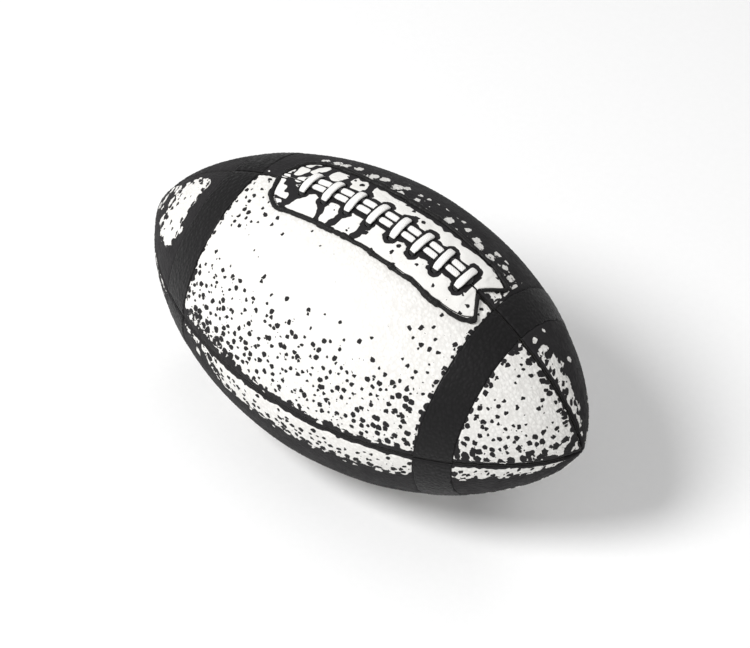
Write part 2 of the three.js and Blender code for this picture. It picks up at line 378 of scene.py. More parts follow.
def stipple(graph, place_mm, tone, cell_mm, largest):
    """Round black marks that grow in number, then in size, then run together as tone goes from 0 to 1."""
    cells = graph.node("TexVoronoi", {"Vector": place_mm, "Scale": 1 / cell_mm}, voronoi_dimensions="2D")
    chance = graph.node("SeparateColor", {"Color": cells.outputs["Color"]})
    share = graph.math("SUBTRACT", graph.math("MULTIPLY", tone, 3.8), chance.outputs[0])
    shown = graph.remap(share, 0.0, 0.12)
    size = graph.remap(chance.outputs[1], 0, 1, 0.5, 1.0)
    radius = graph.math("MULTIPLY", graph.math("MULTIPLY", shown, size), largest)
    grown = graph.math("MAXIMUM", graph.math("SUBTRACT", tone, 0.25), 0.0)
    radius = graph.math("ADD", radius, graph.math("MULTIPLY", grown, 0.72))
    return graph.remap(graph.math("SUBTRACT", radius, cells.outputs["Distance"]), 0.0, 0.05)


def leather_material(name, pebbled):
    """White leather with black specks whose number follows painted shade, grey in the grain's valleys, and
    black where its edge attribute is high: painted shade at the seams, in the lace holes and under the lace,
    black too under the stripes, round the valve and on the patch's dyed cut edge.
    """
    graph = Graph(name)
    position = graph.position()
    tone = graph.attribute("tone")
    valley = graph.attribute("valley")
    flat = graph.node("CombineXYZ", {0: graph.attribute("along"), 1: graph.attribute("across")}).outputs[0]
    warp = graph.noise(position, 2.2, detail=1.0).outputs["Color"]
    warp = graph.scaled(graph.vector_math("SUBTRACT", warp, (0.5, 0.5, 0.5)), 1.9)
    warped = graph.vector_math("ADD", flat, warp)
    # the number of specks follows the tone: the grain's own specks, with painted shade laid over them
    large = stipple(graph, warped, tone, 4.6, 0.35)
    fine = stipple(graph, warped, graph.math("MULTIPLY", tone, 0.25), 2.9, 0.22)
    specks = graph.math("MAXIMUM", large, fine)
    torn = graph.vector_math("ADD", flat, graph.scaled(warp, 1.6))
    tall = graph.vector_math("MULTIPLY", torn, (1.0, 0.6, 1.0))
    flecks = stipple(graph, tall, graph.math("SUBTRACT", 1.0, tone), 6.2, 0.36)
    sideways = graph.node("SeparateXYZ", {"Vector": warp}).outputs[0]
    ragged = graph.math("ADD", tone, graph.math("MULTIPLY", sideways, 0.1))
    # painted shade: where the tone is highest the leather is black with white flecks
    nearly_black = graph.remap(ragged, 0.625, 0.635)
    specks = graph.mix(nearly_black, specks, graph.math("SUBTRACT", 1.0, flecks))
    mottle = graph.noise(position, 9.0, detail=4.0).outputs["Fac"]
    ground = graph.mix(graph.remap(mottle, 0.35, 0.75, 0.0, 0.25), WHITE, rgb(0.72, 0.70, 0.665))
    # darker grey in the grain's valleys and in the patch's creases
    ground = graph.mix(graph.math("MULTIPLY", valley, 0.22 if pebbled else 0.12), ground, VALLEY_GREY)
    # black from the edge attribute, mostly painted shade at the seams, in the lace holes and under the lace
    edge = graph.remap(graph.attribute("edge"), 0.35, 0.65)
    color = graph.mix(edge, graph.mix(specks, ground, SHADE_AND_SPECK_BLACK), SHADE_AND_SPECK_BLACK)
    pores = graph.noise(position, 0.45, detail=3.0).outputs["Fac"]
    grain = graph.cracks(position, 1.5)
    normal = graph.bump(pores, 0.10 if pebbled else 0.06, 0.7)
    normal = graph.bump(graph.remap(grain, 0.0, 0.2), 0.05, 0.7, normal)
    black_marks = graph.math("MAXIMUM", specks, edge)
    bare_roughness = graph.remap(mottle, 0.3, 0.7, 0.46, 0.6)
    roughness = graph.math("ADD", bare_roughness, graph.math("MULTIPLY", black_marks, 0.25))
    return graph.finish(color, roughness, normal, Specular_IOR_Level=0.3)


def stripe_material():
    """Black leather, scuffed along its edges."""
    graph = Graph("stripe_black")
    position = graph.position()
    valley = graph.attribute("valley")
    scuffs = graph.noise(position, 1.6, detail=5.0, roughness=0.7).outputs["Fac"]
    worn = graph.math("MULTIPLY", graph.remap(scuffs, 0.60, 0.78), graph.attribute("edge"))
    # blacker in the pebbles' valleys
    deep = graph.math("MULTIPLY", valley, 0.5)
    valley_dark = graph.mix(deep, rgb(0.008, 0.0075, 0.008), rgb(0.003, 0.003, 0.003))
    color = graph.mix(graph.math("MULTIPLY", worn, 0.3), valley_dark, rgb(0.12, 0.11, 0.11))
    pores = graph.noise(position, 0.5, detail=3.0).outputs["Fac"]
    normal = graph.bump(pores, 0.08, 0.7)
    roughness = graph.remap(scuffs, 0.3, 0.7, 0.45, 0.62)
    return graph.finish(color, roughness, normal, Specular_IOR_Level=0.22)


def weave(graph, first, second, pitch_mm):
    """A plain weave from two coordinates in millimetres, 0 in the gaps and 1 on the threads."""
    turns = 2 * math.pi / pitch_mm
    one = graph.math("SINE", graph.math("MULTIPLY", first, turns))
    two = graph.math("SINE", graph.math("MULTIPLY", second, turns))
    return graph.remap(graph.math("MULTIPLY", one, two), -1.0, 1.0)


def lace_material():
    """White woven tape, with painted shade: black where it goes down into the leather."""
    graph = Graph("lace_white")
    position = graph.position()
    along = graph.attribute("along")
    across = graph.attribute("across")
    threads = weave(graph, along, across, 1.15)
    fuzz = graph.noise(position, 0.35, detail=3.0).outputs["Fac"]
    shade_wobble = graph.noise(position, 2.6, detail=3.0).outputs["Fac"]
    gaps = graph.remap(threads, 0.0, 0.6, 0.30, 0.0)
    ground = graph.mix(gaps, rgb(0.90, 0.89, 0.87), rgb(0.55, 0.53, 0.50))
    # painted shade with a ragged edge
    lace_shade = graph.math("MULTIPLY", graph.attribute("edge"), graph.remap(shade_wobble, 0.3, 0.6, 0.8, 1.2))
    color = graph.mix(graph.remap(lace_shade, 0.3, 0.7), ground, SHADE_AND_SPECK_BLACK)
    normal = graph.bump(threads, 0.16, 0.9)
    normal = graph.bump(fuzz, 0.06, 0.6, normal)
    roughness = graph.remap(fuzz, 0.3, 0.7, 0.62, 0.8)
    return graph.finish(color, roughness, normal, Specular_IOR_Level=0.3, Sheen_Weight=0.25)


def thread_material():
    """Waxed black thread."""
    graph = Graph("thread_black")
    position = graph.position()
    fibres = graph.noise(position, 0.5, detail=4.0, roughness=0.7).outputs["Fac"]
    color = graph.mix(graph.remap(fibres, 0.35, 0.75), rgb(0.006, 0.006, 0.006), rgb(0.03, 0.028, 0.026))
    normal = graph.bump(fibres, 0.08, 0.8)
    return graph.finish(color, graph.remap(fibres, 0.3, 0.7, 0.5, 0.75), normal, Specular_IOR_Level=0.2)


def welt_material():
    """A black leather cord with fine creases."""
    graph = Graph("welt_black")
    position = graph.position()
    creases = graph.remap(graph.cracks(position, 1.3), 0.0, 0.15)
    scuffs = graph.noise(position, 2.4, detail=4.0).outputs["Fac"]
    worn = graph.remap(scuffs, 0.55, 0.8, 0.0, 0.5)
    color = graph.mix(worn, rgb(0.008, 0.0075, 0.0075), rgb(0.04, 0.037, 0.035))
    normal = graph.bump(creases, 0.1, 0.7)
    return graph.finish(color, graph.remap(scuffs, 0.3, 0.7, 0.45, 0.62), normal, Specular_IOR_Level=0.22)


def cloth_material(name, color, dark, pitch_mm):
    """Woven cotton for the linings."""
    graph = Graph(name)
    position = graph.node("SeparateXYZ", {"Vector": graph.position()})
    in_mm = [graph.math("MULTIPLY", position.outputs[i], 1 / MM) for i in range(3)]
    threads = weave(graph, in_mm[0], graph.math("ADD", in_mm[1], in_mm[2]), pitch_mm)
    return graph.finish(graph.mix(threads, dark, color), 0.9, graph.bump(threads, 0.15, 0.8))


def split_leather_material():
    """Rough brown leather for the lace guard."""
    graph = Graph("guard_split_leather")
    fibres = graph.noise(graph.position(), 1.2, detail=5.0, roughness=0.7).outputs["Fac"]
    color = graph.mix(fibres, rgb(0.20, 0.14, 0.10), rgb(0.42, 0.33, 0.25))
    return graph.finish(color, 0.85, graph.bump(fibres, 0.12, 0.8))


def rubber_material(name, dark, light, roughness):
    """Dark rubber with a paler bloom."""
    graph = Graph(name)
    position = graph.position()
    bloom = graph.noise(position, 5.0, detail=4.0).outputs["Fac"]
    grain = graph.noise(position, 0.4, detail=2.0).outputs["Fac"]
    color = graph.mix(graph.remap(bloom, 0.4, 0.8), dark, light)
    wear = graph.remap(bloom, 0.3, 0.7, roughness, roughness + 0.12)
    return graph.finish(color, wear, graph.bump(grain, 0.04, 0.6), Specular_IOR_Level=0.4)


LEATHER_WHITE = leather_material("leather_white", pebbled=True)
PATCH_WHITE = leather_material("patch_white", pebbled=False)
STRIPE_BLACK = stripe_material()
LACE_WHITE = lace_material()
THREAD_BLACK = thread_material()
WELT_BLACK = welt_material()
LINING_COTTON = cloth_material("lining_cotton", rgb(0.66, 0.60, 0.48), rgb(0.36, 0.31, 0.24), 1.4)
GUARD_LEATHER = split_leather_material()
BLADDER_RUBBER = rubber_material("bladder_rubber", rgb(0.02, 0.02, 0.02), rgb(0.05, 0.05, 0.05), 0.5)
VALVE_RUBBER = rubber_material("valve_rubber", rgb(0.015, 0.015, 0.015), rgb(0.04, 0.04, 0.04), 0.42)

# ---- Pebbled leather: its height and its marks, from where it is on the ball ----

PEBBLE = 2.3  # distance between pebbles
PEBBLE_DEPTH = 0.24
ROLL = 1.5  # radius that a panel's edge turns down with
STITCH = 4.4  # distance between seam stitches
STITCH_PULL = 0.16  # how far a stitch draws the leather down
SEAM_DIP = 0.55  # how far a panel sinks towards its seams
WAVE_HEIGHT, WAVE_SIZE = 0.22, 26.0  # slow waves all over the leather
PATTERN_SHIFT = 400.0  # along the ball, so that each panel has specks of its own
PATCH_PATTERN_SHIFT = 5 * PATTERN_SHIFT


def pebbles(points):
    """How high the pebbles stand, from 0 to 1, and how much of a valley is between them."""
    first, second = scattered(points, PEBBLE)
    bump = smooth((second - first) / 0.38)
    dome = 1 - 0.45 * np.minimum(first, 1) ** 2
    return bump * dome, 1 - bump


def rolled_edge(distance, radius):
    """How far a sheet's edge turns down, at a distance in from it."""
    short = np.clip(radius - distance, 0, radius)
    return radius - np.sqrt(radius**2 - short**2)


def shade_and_speck_tone(x, angle):
    """How dark the ball is marked, from 0 to 1: the grain's own specks with painted shade laid over them,
    clean high on the front where the light falls, darker underneath and behind.

    turn is the angle in degrees, from -90 at the bottom seam through the back, top and front seams to 270.
    """
    turn = (np.degrees(angle) + 90) % 360 - 90
    front = 0.02 + 0.21 * ramp(turn, 132, 150) + 0.03 * ramp(turn, 150, 162) + 0.09 * ramp(x, 42, 64)
    front += 0.32 * ramp(-x, 12, 45) * ramp(turn, 163, 174)
    front += 0.15 * ramp(-x, 30, 56) * (0.5 * ramp(turn, 144, 158) + ramp(turn, 128, 112))
    front_right = 0.12 + 0.40 * ramp(turn, 106, 96)
    front_right += 0.16 * ramp(turn, 128, 150) + 0.25 * ramp(turn, 160, 169)
    front_right += 0.12 * ramp(x, 116, 132) + 0.5 * ramp(x, 129, 138)
    front_left = 0.08 + 0.9 * ramp(turn, 150, 162) + 0.8 * ramp(turn, 106, 96)
    # painted shade: black towards the left tip and in a band just past the left stripe
    front_left += 0.7 * ramp(-x, 113, 123) + 0.8 * ramp(-x, 104, 99)
    back = 0.50 + 0.16 * ramp(turn, 84, 74) + 0.34 * ramp(turn, 66, 57) + 0.4 * ramp(-x, 50, 68)
    back_right = 0.42 + 0.25 * ramp(x, 112, 103) + 0.55 * ramp(turn, 76, 64)
    under = 0.12 + 0.16 * ramp(turn, 183, 190) + 0.78 * ramp(turn, 190, 199) + 0.5 * ramp(-x, 35, 56)
    past_right, past_left = x > STRIPE_OUTER - 5, x < 5 - STRIPE_OUTER
    front = np.where(past_right, front_right, np.where(past_left, front_left, front))
    back = np.where(past_right, back_right, np.where(past_left, 1.0, back))
    tone = np.where(turn < 90, back, np.where(turn < 180, front, under))
    # painted shade: black teeth along the top of the front seam
    tone = tone + 0.6 * ramp(turn, 175.2, 177.4) * (turn < 180)
    to_stripe = np.abs(np.abs(x) - STRIPE_MIDDLE) - STRIPE_WIDTH / 2
    # painted shade: darker next to the stripes
    tone = tone + 0.30 * ramp(to_stripe, 3.6, 0.6)
    # painted shade carried onto the back and the underside, darker towards their rims
    far_side = 0.24 + 0.74 * ramp(turn, -25, 52) * (turn < 90) + 0.72 * ramp(turn, 262, 218) * (turn > 180)
    hidden = np.clip(ramp(turn, 52, 40) + ramp(turn, 216, 226), 0, 1)
    return np.clip(tone + (far_side - tone) * hidden, 0, 1)


def quarter_grid(start, x_values, columns, edge_columns=12, edge_width=3.4, gap=SEAM_GAP):
    """Rows of angles across one quarter, closer together next to the seams."""
    radius = profile(x_values)
    low = np.arcsin(np.minimum(gap / radius, 0.6))
    span = math.pi / 2 - 2 * low
    edge = np.minimum(edge_width / radius, 0.2 * span)
    middle = columns - 1 - 2 * edge_columns
    into = np.linspace(0, 1, edge_columns + 1)
    across = np.linspace(0, 1, middle + 1)
    angles = [edge[:, None] * into[None, :]]
    angles.append(edge[:, None] + (span - 2 * edge)[:, None] * across[None, 1:])
    angles.append((span - edge)[:, None] + edge[:, None] * into[None, 1:])
    return start * math.pi / 2 + low[:, None] + np.concatenate(angles, 1)


def seam_distance(x, angle, start):
    """Distance in from the nearer of the quarter's two edges."""
    turned = angle - start * math.pi / 2
    return profile(x) * np.minimum(np.sin(turned), np.cos(turned)) - SEAM_GAP


def leather_height(x, angle, start):
    """Height of a panel's face and the attributes that its material reads."""
    points = place(x, angle, 0.0)
    inward = seam_distance(x, angle, start)
    radius = profile(x)
    raised, valley = pebbles(points)
    calm = smooth(inward / 2.2)
    height = -PEBBLE_DEPTH * (1 - raised) * calm
    roll = np.minimum(ROLL, radius * 0.3)
    height -= rolled_edge(inward, roll)
    height -= SEAM_DIP * np.exp(-np.maximum(inward, 0) / 2.6) * smooth(radius / 12)
    arc = np.interp(x, ARC_X, ARC_LENGTH)
    height -= STITCH_PULL * np.exp(-np.maximum(inward, 0) / 2.4) * np.cos(2 * math.pi * arc / STITCH)
    height += WAVE_HEIGHT * noise(points, WAVE_SIZE, salt=5)
    middle = (start + 0.5) * math.pi / 2
    # painted shade: the leather turns black where it rolls down into the seam groove
    seam_shade = 1 - smooth((inward - 1.15 - 0.75 * noise(points, 2.8, salt=9)) / 0.8)
    return height, {
        "valley": valley * calm,
        "tone": shade_and_speck_tone(x, angle),
        "edge": seam_shade,
        "along": arc + PATTERN_SHIFT * start,
        "across": radius * (angle - middle),
    }


def hole_distance(x, y):
    """Plan distance to the middle of the nearest lace hole."""
    distances = [np.hypot(x - bar, y - side * BAR_HALF_SPAN) for bar, side in product(BARS, (-1, 1))]
    return np.min(distances, axis=0)


PANEL_COARSE = 8  # rows of the upper side to one of the under side
PANEL_ROWS = 1 + PANEL_COARSE * 56
PANEL_COLUMNS = 1 + PANEL_COARSE * 22
TIP_RADIUS = 1.1  # where the panels end
CHANNEL_DEPTH = 0.75  # of the leather under a stripe
HOLE_DENT = 1.3
VALVE_DENT = 0.9
VALVE_ANGLE = 1.75 * math.pi
VALVE_TOP = place(0.0, VALVE_ANGLE, 0.0)


def make_panel(name, start):
    """One of the four quarters of the ball, from tip to tip."""
    tip = HALF_LENGTH * math.sqrt(1 - (TIP_RADIUS / RADIUS) ** (1 / END_SHARPNESS))
    along = stations(-tip, tip, PANEL_ROWS)
    angle = quarter_grid(start, along, PANEL_COLUMNS)
    x = np.broadcast_to(along[:, None], angle.shape)
    height, marks = leather_height(x, angle, start)
    size = np.abs(x)
    channel = smooth((size - STRIPE_INNER + 0.7) / 0.9) * smooth((STRIPE_OUTER + 0.7 - size) / 0.9)
    height -= CHANNEL_DEPTH * channel
    marks["edge"] = np.maximum(marks["edge"], 0.9 * smooth((channel - 0.2) / 0.3))
    y = profile(x) * np.cos(angle)
    if name.startswith("upper"):
        nearest = hole_distance(x, y)
        height -= HOLE_DENT * smooth(1 - nearest / (HOLE_RADIUS + 1.2))
        # painted shade: black round the lace holes, seen through the patch
        marks["edge"] = np.maximum(marks["edge"], smooth(1.6 - nearest / HOLE_RADIUS))
    if name == "lower_back":
        reach = np.linalg.norm(place(x, angle, 0.0) - VALVE_TOP, axis=-1)
        height -= VALVE_DENT * smooth(1.5 - reach / 4.6)
        marks["edge"] = np.maximum(marks["edge"], 0.7 * smooth(2.0 - reach / 2.4))
    points, faces, extra = shell(place(x, angle, height), place(x, angle, -LEATHER - 0.1), PANEL_COARSE)
    marks = {key: padded_values(values, extra) for key, values in marks.items()}
    make_piece(f"{name}_leather", points, faces, LEATHER_WHITE, [f"{name}_panel"], marks)


for name, start in QUARTERS.items():
    make_panel(name, start)

# ---- Stripes ----

STRIPE_COARSE = 4
STRIPE_ROWS = 1 + STRIPE_COARSE * 13
STRIPE_COLUMNS = 1 + STRIPE_COARSE * 38
STRIPE_RISE = 0.22
STRIPE_UNDERSIDE = -0.62
STRIPE_EDGE_ROLL = 0.55
STRIPE_WORN_EDGE = 1.5


def make_stripe(end, name, start):
    """The strip on one panel at one end. Its surface wanders sideways a little more towards its edges."""
    side = "right" if end > 0 else "left"
    along = stations(STRIPE_INNER, STRIPE_OUTER, STRIPE_ROWS) * end
    angle = quarter_grid(start, along, STRIPE_COLUMNS)
    line = np.broadcast_to(along[:, None], angle.shape)
    points = place(line, angle, 0.0)
    wander = 0.35 * noise(points, 7.0, salt=21) + 0.40 * noise(points, 2.2, salt=22)
    x = line + wander * np.abs(line - STRIPE_MIDDLE * end) / STRIPE_WIDTH * 2
    height, marks = leather_height(x, angle, start)
    arc = np.interp(np.abs(line), ARC_X, ARC_LENGTH)
    inward = np.minimum(arc - arc.min(), arc.max() - arc)
    height += STRIPE_RISE - rolled_edge(inward, STRIPE_EDGE_ROLL)
    marks["edge"] = np.maximum(1 - smooth(inward / STRIPE_WORN_EDGE), 0.4 * marks["edge"])
    points, faces, extra = shell(place(x, angle, height), place(x, angle, STRIPE_UNDERSIDE), STRIPE_COARSE)
    marks = {key: padded_values(marks[key], extra) for key in ("valley", "edge")}
    piece = f"{side}_stripe_{name}"
    make_piece(f"{piece}_leather", points, faces, STRIPE_BLACK, [piece], marks)


for end, (name, start) in product((-1, 1), QUARTERS.items()):
    make_stripe(end, name, start)

# ---- Lacing patch and its welt ----


def bezier(a, control, b, count=24):
    """A curve from a to b, drawn towards control."""
    t = np.linspace(0, 1, count)[:, None]
    a, control, b = (np.array(p, float) for p in (a, control, b))
    return (1 - t) ** 2 * a + 2 * t * (1 - t) * control + t**2 * b


def patch_edge(margin=0.0):
    """The patch's long edge in plan, from its left tip to the corner of its tail, on the +Y side."""
    half = PATCH_HALF_WIDTH + margin
    left, right, tail = PATCH_LEFT - margin, PATCH_RIGHT + margin, PATCH_TAIL + margin
    corner = (left + 4.5, half * 0.64)
    slant = bezier((left, SEAM_GAP + 0.9), (left + 1.8, half * 0.3), corner, 8)
    start = bezier(corner, (left + 8, half), (left + 24, half))
    finish = bezier((right - 24, half), (right - 9, half), (right, tail))
    return np.concatenate([slant, start[1:], finish])


def hand_cut(edge, side):
    """A cut edge that wanders a little, as if cut by hand. It keeps its ends."""
    sample = np.column_stack([edge, np.full(len(edge), 40.0 * side)])
    wander = 1.0 * noise(sample, 13.0, salt=31) + 0.5 * noise(sample, 4.5, salt=32)
    keep = smooth(np.arange(len(edge)) / 8) * smooth((len(edge) - 1 - np.arange(len(edge))) / 8)
    return edge + np.array([0.0, 1.0]) * (wander * keep)[:, None]


def lace_shadow(x, away, points, side):
    """Where the patch is black: under the lace, in a pocket round each hole, in folds and at the left end."""
    wobble, ragged = noise(points, 3.0, salt=47), noise(points, 1.9, salt=48)
    ends = ramp(x, BARS[0] - 5.5, BARS[0] - 4.0) * ramp(x, BARS[-1] + 5.5, BARS[-1] + 4.5)
    reach = 6.6 if side < 0 else 7.4
    black = ends * (1 - smooth((away - reach - 1.3 * wobble) / 1.2))
    if side > 0:
        black = np.maximum(black, smooth((away - 16.6 - 1.6 * wobble) / 1.2))
    squiggles = smooth(1.8 - 5.0 * np.abs(noise(points, 4.6, salt=50)))
    black = np.maximum(black, squiggles * ramp(x, BARS[0] + 1.0, BARS[0] - 4.0))
    for i, bar in enumerate(BARS):
        lean = 0.35 * math.sin(2.3 * i + side)
        out = away - BAR_HALF_SPAN
        # the folds at the left end reach the edge of the patch, the others are short
        to_edge = i < 4 if side < 0 else i < 3
        length = 30.0 if to_edge else 2.6 + math.sin(3.1 * i)
        half = np.maximum(2.0 - 0.06 * out, 0.9)
        line = np.abs(x - bar - lean * out - 1.2 * wobble) + 0.5 * ragged
        fold = (1 - smooth((line - half) / 1.0)) * ramp(out, -3, -2) * (1 - smooth((out - length) / 1.0))
        pocket = 1 - smooth((np.hypot(x - bar, out - 0.6) - 3.6 - 0.8 * ragged) / 1.0)
        black = np.maximum(black, np.maximum(fold, pocket))
    return black


PATCH_COARSE = 4
PATCH_STEPS = 1 + PATCH_COARSE * 66
PATCH_COLUMNS = 1 + PATCH_COARSE * 12
PATCH_UNDERSIDE = 0.1
PATCH_EDGE_ROLL, PATCH_SLIT_ROLL = 0.8, 0.7
LACE_PULL = 0.25  # of the patch, down at each bar of the lace and up between them
HOLE_SINK = 0.35
SHADE_SINK = 0.22
CREASE_DEPTH = 0.14


def make_patch(side_name, side):
    """One half of the lacing patch. Its grid runs from the slit out to the cut edge."""
    edge = hand_cut(even_path(patch_edge(), 0.5), side)
    along = np.linspace(0, 1, PATCH_STEPS)
    spaced = np.linspace(0, 1, len(edge))
    outer = np.stack([np.interp(along, spaced, edge[:, i]) for i in range(2)], -1)
    notch = PATCH_RIGHT - PATCH_NOTCH
    slit = np.stack([PATCH_LEFT + (notch - PATCH_LEFT) * along, np.full(PATCH_STEPS, SEAM_GAP)], -1)
    into = np.linspace(0, 1, PATCH_COLUMNS) ** 0.9
    plan = slit[:, None] * (1 - into[None, :, None]) + outer[:, None] * into[None, :, None]
    x, y = plan[..., 0], plan[..., 1] * side
    points = place_flat(x, y, 0.0)
    inward = np.linalg.norm(plan - outer[:, None], axis=-1)
    inward = np.minimum(inward, np.linalg.norm(plan - plan[-1:], axis=-1))
    nearest = hole_distance(x, y)
    height = PATCH_THICKNESS - rolled_edge(inward, PATCH_EDGE_ROLL)
    height -= rolled_edge(plan[..., 1] - SEAM_GAP, PATCH_SLIT_ROLL)
    between = np.cos(2 * math.pi * (x - BARS[0]) / BAR_PITCH)
    pull = np.exp(-(((np.abs(y) - BAR_HALF_SPAN - 2) / 4.5) ** 2)) * (np.abs(x - LACE_MIDDLE) < BAR_PITCH * 4)
    height -= LACE_PULL * pull * between
    height -= HOLE_SINK * np.exp(-((nearest / 3.2) ** 2))
    height += 0.14 * noise(points, 5.5, salt=42) + 0.08 * noise(points, 2.4, salt=43)
    # painted shade: black under the lace, round the holes, in the folds and at the left end; these parts also
    # sink a little
    shade_and_dyed_edge = lace_shadow(x, np.abs(y), points, side)
    height -= SHADE_SINK * shade_and_dyed_edge
    creases = 1 - np.abs(noise(points, 4.2, salt=44)) / 0.09
    creases = smooth(creases) * ramp(noise(points, 9.0, salt=45), 0.0, 0.25)
    height -= CREASE_DEPTH * creases
    # the patch's cut edge is dyed black
    shade_and_dyed_edge = np.maximum(shade_and_dyed_edge, 1 - smooth(inward / 0.5))
    marks = {
        "valley": creases,
        "tone": 0.035 + 0.05 * ramp(noise(points, 12.0, salt=46), 0.0, 0.4),
        "edge": shade_and_dyed_edge,
        "along": x + PATCH_PATTERN_SHIFT,
        "across": y,
    }
    points, faces, extra = shell(place_flat(x, y, height), place_flat(x, y, PATCH_UNDERSIDE), PATCH_COARSE)
    marks = {key: padded_values(values, extra) for key, values in marks.items()}
    name = f"lacing_patch_{side_name}"
    piece = make_piece(f"{name}_leather", points, faces, PATCH_WHITE, [name], marks)
    punch_holes(piece, side)


def drum(x, y, radius, low, high, sides=28):
    """An upright cylinder through the top of the ball, in millimetres."""
    turn = 2 * math.pi * np.arange(sides) / sides
    ring = np.stack([x + radius * np.cos(turn), y + radius * np.sin(turn)], -1)
    points = np.concatenate([np.column_stack([ring, np.full(sides, z)]) for z in (low, high)])
    faces = [[i, (i + 1) % sides, sides + (i + 1) % sides, sides + i] for i in range(sides)]
    faces += [list(range(sides))[::-1], list(range(sides, 2 * sides))]
    return points, faces


def punch_holes(piece, side):
    """Cuts the lace holes of one side of the seam out of a piece."""
    drums = []
    for bar in BARS:
        top = profile(bar)
        drums.append(drum(bar, side * BAR_HALF_SPAN, HOLE_RADIUS, top - 12, top + 8))
    points, faces = gather(drums)
    mesh = bpy.data.meshes.new("hole_drums")
    mesh.from_pydata((points * MM).tolist(), [], faces)
    cutter = bpy.data.objects.new("hole_drums", mesh)
    bpy.context.scene.collection.objects.link(cutter)
    cut = piece.modifiers.new("holes", "BOOLEAN")
    cut.operation, cut.object, cut.solver = "DIFFERENCE", cutter, "EXACT"
    bpy.context.view_layer.update()
    evaluated = piece.evaluated_get(bpy.context.evaluated_depsgraph_get())
    piece_mesh = bpy.data.meshes.new_from_object(evaluated)
    piece.modifiers.clear()
    piece.data = piece_mesh
    piece_mesh.set_sharp_from_angle(angle=math.radians(50))
    # painted shade: the walls of the lace holes are black
    black = piece_mesh.attributes["edge"].data
    for vertex in piece_mesh.vertices:
        x, y = vertex.co.x / MM, vertex.co.y / MM - side * BAR_HALF_SPAN
        nearest = min(math.hypot(x - bar, y) for bar in BARS)
        if nearest < HOLE_RADIUS + 0.3:
            black[vertex.index].value = 1.0
    bpy.data.objects.remove(cutter)


WELT_WIDTH = 2.5
WELT_MARGIN = 1.35  # from the patch's edge to the welt's middle
WELT_HEIGHT = 0.72  # of its middle
WELT_STITCH = 3.6
WELT_STEP = 0.5
WELT_NOTCH = PATCH_RIGHT - PATCH_NOTCH + 1.6  # where it comes back to the slit


def make_welt(side_name, side):
    """The black cord sewn round a half of the patch, from the slit round the tail and back to the slit."""
    edge = hand_cut(even_path(patch_edge(WELT_MARGIN), WELT_STEP), side)
    tail = np.linspace(edge[-1], (WELT_NOTCH, SEAM_GAP + 0.9), 30)[1:]
    route = rounded(even_path(np.concatenate([edge, tail]), 1.6), 2)
    route = even_path(route, WELT_STEP)
    path = place_flat(route[:, 0], route[:, 1] * side, np.full(len(route), WELT_HEIGHT))
    swell = 1 + 0.22 * noise(path, 2.6, salt=51) + 0.22 * noise(path, 8.0, salt=52)
    swell += 0.45 * ramp(noise(path, 3.6, salt=53), 0.30, 0.60)
    step = np.arange(len(path))
    from_stitch = step * WELT_STEP % WELT_STITCH - WELT_STITCH / 2
    pinch = 1 - 0.10 * np.exp(-((from_stitch / 0.35) ** 2))
    ends = smooth((step + 2) / 5) * smooth((len(path) + 1 - step) / 5)
    width = WELT_WIDTH * swell * pinch * ends
    points, faces = sweep(path, (0.0, 0.0, 1.0), width, width, sides=16, squareness=1.0)
    name = f"patch_welt_{side_name}"
    make_piece(f"{name}_cord", points, faces, WELT_BLACK, [name])


for side_name, side in (("front", -1), ("back", 1)):
    make_patch(side_name, side)
    make_welt(side_name, side)

# ---- Lace ----

BAR_WIDTH = 4.1
BAR_THICKNESS = 1.55
RUN_WIDTH = 3.6
RUN_THICKNESS = 1.35
RUN_HEIGHT = 1.75  # of a run's middle, between the bars
BAR_TOP = 3.3  # height of a bar's middle over the seam
INNER_HEIGHT = -4.5  # of the lace inside the ball
INNER_THICKNESS = 1.2
STRAP_SIDES = 14


def strap_marks(path, widths, edge):
    """Lengthwise and crosswise places on a strap, in millimetres, for its weave, and its painted shade."""
    along = np.concatenate([[0], np.cumsum(np.linalg.norm(np.diff(path, axis=0), axis=1))])
    turn = 2 * math.pi * np.arange(STRAP_SIDES) / STRAP_SIDES
    across = np.cos(turn)[None, :] * np.broadcast_to(widths, len(path))[:, None] / 2
    return {
        "along": np.repeat(along, STRAP_SIDES),
        "across": across.ravel(),
        "edge": np.repeat(edge, STRAP_SIDES),
    }


def bar_strap(index, bar):
    """One cross bar, up out of its front hole, over the two runs and down its back hole."""
    lean = 0.055 * math.sin(2.7 * index + 0.4)
    reach = BAR_HALF_SPAN
    corners = [(-reach, INNER_HEIGHT), (-reach, 0.4), (-reach + 0.35, 1.75), (-reach + 1.9, 2.35)]
    corners += [(-RUN_OFFSET, BAR_TOP - 0.1), (RUN_OFFSET, BAR_TOP - 0.1)]
    corners += [(reach - 1.9, 2.35), (reach - 0.35, 1.75), (reach, 0.4), (reach, INNER_HEIGHT)]
    route = even_path(rounded(corners, 3), 0.45)
    y, height = route[:, 0], route[:, 1]
    x = bar + lean * y + 0.25 * math.sin(5.1 * index)
    path = place_flat(x, y, height)
    slope = profile_slope(bar)
    side = np.array([1.0, -lean, slope]) / math.sqrt(1 + slope**2 + lean**2)
    inside = smooth((reach + 0.4 - np.abs(y)) / 3.0)
    widths = BAR_WIDTH * (0.78 + 0.22 * inside) * (1 + 0.05 * noise(path, 3.0, salt=60 + index))
    thick = BAR_THICKNESS * (0.95 + 0.12 * inside)
    # painted shade: black where the bar goes down to its holes
    lace_shade = 1 - smooth((height - 1.0) / 0.6)
    return sweep(path, side, widths, thick, STRAP_SIDES), strap_marks(path, widths, lace_shade)


